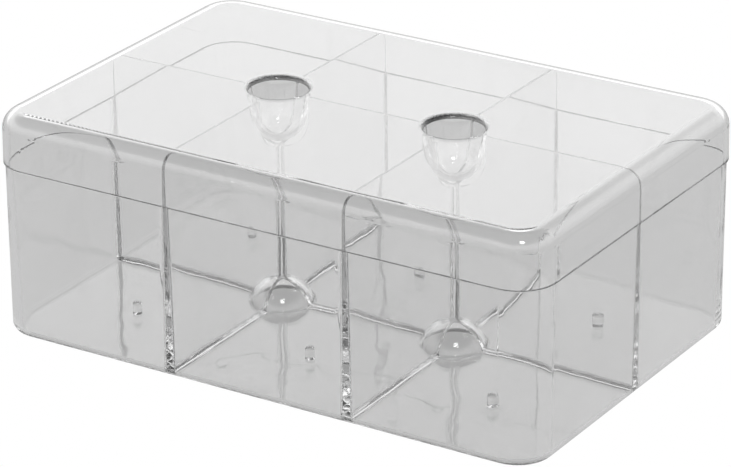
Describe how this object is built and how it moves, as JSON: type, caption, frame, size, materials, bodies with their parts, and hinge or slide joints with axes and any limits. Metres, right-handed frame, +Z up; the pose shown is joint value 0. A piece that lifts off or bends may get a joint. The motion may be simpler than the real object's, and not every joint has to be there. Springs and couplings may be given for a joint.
{
  "type": "parts organizer",
  "caption": "Clear rectangular box for small parts: an open tray divided into compartments, under a loose lid with finger cups.",
  "frame": {"origin": "centre of the tray's flat underside", "axes": "+X along the row of three compartments, +Y across the box, +Z up, the way the lid lifts off"},
  "size_m": [0.24, 0.16, 0.091],
  "materials": {
    "clear_tray": "polished, transparent",
    "clear_lid": "polished, transparent"
  },
  "bodies": {
    "tray": {"tray": "clear_tray"},
    "lid": {"lid": "clear_lid"}
  },
  "joints": [
    {"name": "lid_lift", "type": "slide", "parent": "tray", "child": "lid", "axis": [0, 0, 1], "range_m": [0, 0.1]}
  ]
}
